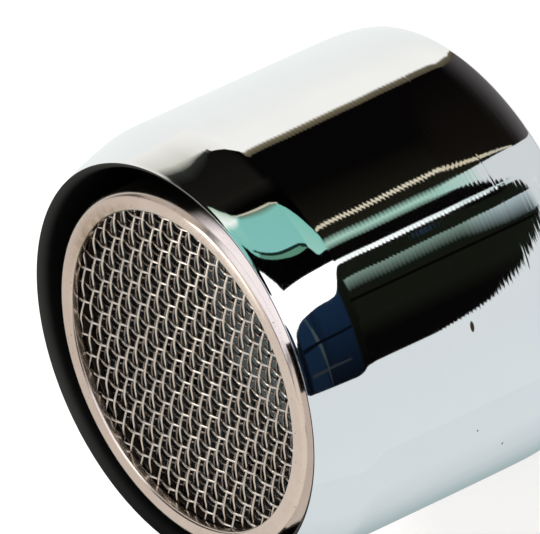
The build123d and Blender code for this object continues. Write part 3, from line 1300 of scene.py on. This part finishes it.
def speck(tree, place, angle, height, long, tall):
    """Mask of a small oval mark on the body, at an angle in degrees and a height in millimetres."""
    spot = ray_towards(angle, 0) * (body_radius / mm) + Vector((0, 0, height))
    offset = vector_maths(tree, "SUBTRACT", place, spot)
    scaled = vector_maths(tree, "MULTIPLY", offset, (2 / long, 2 / long, 2 / tall))
    return soft_step(tree, vector_maths(tree, "LENGTH", scaled), speck_outer, speck_inner)


def chrome():
    """Polished chrome plate with turning marks, long waves, a groove and a few small specks."""
    material, tree, shader, place = finish("chrome_plate", Metallic=1.0, Roughness=0.03)
    height = node(tree, "SeparateXYZ", {0: place}).outputs["Z"]
    regular = spread(tree, height, regular_low, regular_high, regular_from, regular_to)
    on_body = spread(tree, height, 1.0, 0.0, regular_fades, regular_ends)
    marks = node(tree, "Group", node_tree=turning_marks, inputs={
        "Distance": height,
        "Feed": mark_feed,
        "Regular": maths(tree, "MULTIPLY", regular, on_body),
        "Uneven": spread(tree, height, uneven_low, uneven_high, uneven_from, uneven_to),
    })
    beside_groove = maths(tree, "ABSOLUTE", maths(tree, "SUBTRACT", height, groove_height))
    groove = spread(tree, beside_groove, -groove_depth, 0.0, 0.0, groove_width / 2)
    waves = noise_along(tree, height, scale=0.45, detail=0.0)
    grooved = maths(tree, "MULTIPLY_ADD", waves, wave_depth, groove)
    bump(tree, shader, maths(tree, "ADD", marks.outputs[0], grooved))
    cloud = noise(tree, place, scale=0.35, detail=2.0)
    colour = mixed(tree, cloud, chrome_cool, chrome_pale)
    for angle, level, long, tall in body_specks:
        colour = mixed(tree, speck(tree, place, angle, level, long, tall), colour, speck_brown)
    paint_with(tree, shader, Base_Color=colour)
    return material


shell.data.materials.append(chrome())
print("outside of the shell:", shell.data.materials[0].name)

# %% [markdown]
# ### Inside of the shell
#
# The plate in the socket is duller. The wall of the ring-shaped gap is painted near black, as painted shade,
# darker low down and towards one side. Faces get these finishes by their place. A face of the rim that still
# looks outwards stays chrome.

# %% Make the inside finishes
socket_dark, socket_pale = (0.48, 0.46, 0.43, 1), (0.60, 0.58, 0.55, 1)
socket_shine = (0.22, 0.38)
gap_shade_low, gap_shade_high = 17.7, 18.3
gap_shade_deep, gap_shade_top = (0.0045, 0.0045, 0.0045, 1), (0.034, 0.034, 0.032, 1)
gap_shade_side = (-0.87, 0.50, 0)
gap_shade_starts, gap_shade_full = 5.5, 10.5
gap_shade_darkest = (0.003, 0.003, 0.003, 1)
end_face_depth = 0.1 * mm
rim_turn = 0.80
socket_finish, gap_finish = 1, 2


def gap_painted_shade():
    """Painted shade on the wall of the ring-shaped gap: dull, near black, darker low down and to one side."""
    material, tree, shader, place = finish("gap_painted_shade", Specular_IOR_Level=0.08, Roughness=0.6)
    height = node(tree, "SeparateXYZ", {0: place}).outputs["Z"]
    # Painted shade: the wall is painted darker with depth and towards one side, where the gap is in shade.
    colour = mixed(tree, soft_step(tree, height, gap_shade_low, gap_shade_high), gap_shade_deep, gap_shade_top)
    towards = vector_maths(tree, "DOT_PRODUCT", place, gap_shade_side)
    side_shade = spread(tree, towards, 0.0, 1.0, gap_shade_starts, gap_shade_full)
    paint_with(tree, shader, Base_Color=mixed(tree, side_shade, colour, gap_shade_darkest))
    return material


shell.data.materials.append(clouded("socket_plate", socket_dark, socket_pale, socket_shine, cloud_scale=0.6))
shell.data.materials.append(gap_painted_shade())
for face in shell.data.polygons:
    out = face.center.xy.length
    within = out < relief_radius + edge_round and end_face_depth < face.center.z < shell_length
    if within and face.normal.xy.dot(face.center.xy) <= rim_turn * out:
        face.material_index = socket_finish if face.center.z < ledge_top - edge_round else gap_finish
ridge.data.materials.append(shell.data.materials[socket_finish])
print("shell finishes:", [m.name for m in shell.data.materials])

# %% [markdown]
# ### Steel
#
# The cap is polished stainless steel with a warm cast, with faint rings on its lip and brown specks of
# scale, which lie thickest in one place at its inner edge. One side of the cap is painted paler than the
# other, as painted shading. The wires are drawn from the same steel. The second screen and the ring under
# the first one are painted darker, as painted shade under the first screen.

# %% Make the polished cap
cap_feed, cap_depth = 0.16, 0.0012
cap_shine = (0.16, 0.28)
steel_dark, steel_pale = (0.62, 0.53, 0.45, 1), (0.73, 0.64, 0.56, 1)
painted_shading_slope = (-0.025, -0.035, 0)
scale_brown = (0.33, 0.24, 0.145, 1)
speck_share = 0.6
speck_from, speck_full = 0.66, 0.74
stain_place = (8.6, 1.6, cap_high.z / mm)
stain_reach = 5.5
stain_inner, stain_outer = 8.75, 9.7
stain_least, stain_from, stain_full = 0.25, 0.32, 0.62


def cap_finish():
    """Warm polished steel with faint rings round the core's axis, brown specks, and painted shading that
    makes one side paler.
    """
    material, tree, shader, place = finish("cap_polish", Metallic=1.0)
    from_axis = vector_maths(tree, "SUBTRACT", place, (core_x / mm, 0, 0))
    out = vector_maths(tree, "LENGTH", vector_maths(tree, "MULTIPLY", from_axis, (1, 1, 0)))
    depths = {"Distance": out, "Feed": cap_feed, "Regular": 0.0, "Uneven": cap_depth}
    bump(tree, shader, node(tree, "Group", depths, node_tree=turning_marks).outputs[0])
    cloud = noise(tree, place, scale=0.8, detail=4.0)
    # Painted shading: the tone grows paler towards one side of the cap, as if lit more from there.
    tone = maths(tree, "ADD", vector_maths(tree, "DOT_PRODUCT", place, painted_shading_slope), cloud)
    colour = mixed(tree, tone, steel_dark, steel_pale)
    grains = noise(tree, place, scale=5.0, detail=3.0)
    specks = spread(tree, grains, 0.0, speck_share, speck_from, speck_full)
    colour = mixed(tree, specks, colour, scale_brown)
    near_stain = soft_step(tree, vector_maths(tree, "DISTANCE", place, stain_place), stain_reach, 0.0)
    blots = spread(tree, noise(tree, place, scale=1.6, detail=4.0), stain_least, 1.0, stain_from, stain_full)
    near_edge = soft_step(tree, out, stain_outer, stain_inner)
    stain = maths(tree, "MULTIPLY", maths(tree, "MULTIPLY", near_stain, blots), near_edge)
    colour = mixed(tree, stain, colour, scale_brown)
    paint_with(tree, shader, Base_Color=colour, Roughness=spread(tree, cloud, *cap_shine))
    return material


cap.data.materials.append(cap_finish())
print("cap:", cap.data.materials[0].name)

# %% [markdown]
# The wires and the spacer need no marks of their own: their form makes the pattern. So each has one
# clouded metal, painted from bright to dark with their depth in the part, as painted shade.

# %% Make the wires and the spacer
steel_cloud = 1.2
wire_dark, wire_pale = (0.55, 0.50, 0.44, 1), (0.70, 0.65, 0.58, 1)
wire_shine = (0.16, 0.30)
shaded_wire_dark, shaded_wire_pale = (0.22, 0.19, 0.16, 1), (0.34, 0.31, 0.28, 1)
shaded_wire_shine = (0.14, 0.28)
spacer_dark, spacer_pale = (0.06, 0.05, 0.04, 1), (0.12, 0.10, 0.08, 1)
spacer_shine = (0.35, 0.50)

# Painted shade: the second screen and the spacer are the same steel painted darker, for the shade under the
# first screen.
for piece, name, dark, pale, shine in (
    (outlet_weave, "drawn_wire", wire_dark, wire_pale, wire_shine),
    (inner_weave, "shaded_wire", shaded_wire_dark, shaded_wire_pale, shaded_wire_shine),
    (spacer, "shaded_spacer_steel", spacer_dark, spacer_pale, spacer_shine),
):
    piece.data.materials.append(clouded(name, dark, pale, shine, steel_cloud))
    print(f"{piece.name}: {name}")

# %% [markdown]
# ### Plastic and rubber
#
# Moulded plastic has a fine grain and a soft shine. Rubber is darker and duller. One function makes all
# three, because only their tones and their roughness differ.

# %% Make the plastics and the rubber
grain_depth = 0.004
sleeve_dark, sleeve_pale = (0.012, 0.012, 0.013, 1), (0.02, 0.02, 0.021, 1)
sleeve_shine = (0.35, 0.5)
plate_dark, plate_pale = (0.28, 0.36, 0.385, 1), (0.36, 0.435, 0.46, 1)
plate_shine = (0.38, 0.52)
rubber_dark, rubber_pale = (0.025, 0.025, 0.026, 1), (0.05, 0.05, 0.05, 1)
rubber_shine = (0.6, 0.8)


def moulded(name, dark, pale, shine):
    """Moulded plastic or rubber with a fine grain and slight clouds of tone."""
    material, tree, shader, place = finish(name)
    cloud = noise(tree, place, scale=0.5, detail=3.0)
    grain = noise(tree, place, scale=14.0, detail=2.0)
    paint_with(tree, shader, Base_Color=mixed(tree, cloud, dark, pale), Roughness=spread(tree, grain, *shine))
    bump(tree, shader, spread(tree, grain, 0.0, grain_depth))
    return material


sleeve.data.materials.append(moulded("sleeve_plastic", sleeve_dark, sleeve_pale, sleeve_shine))
plate_plastic = moulded("plate_plastic", plate_dark, plate_pale, plate_shine)
jets.data.materials.append(plate_plastic)
strainer.data.materials.append(plate_plastic)
washer.data.materials.append(moulded("seal_rubber", rubber_dark, rubber_pale, rubber_shine))
print("moulded:", [piece.data.materials[0].name for piece in (sleeve, jets, strainer, washer)])
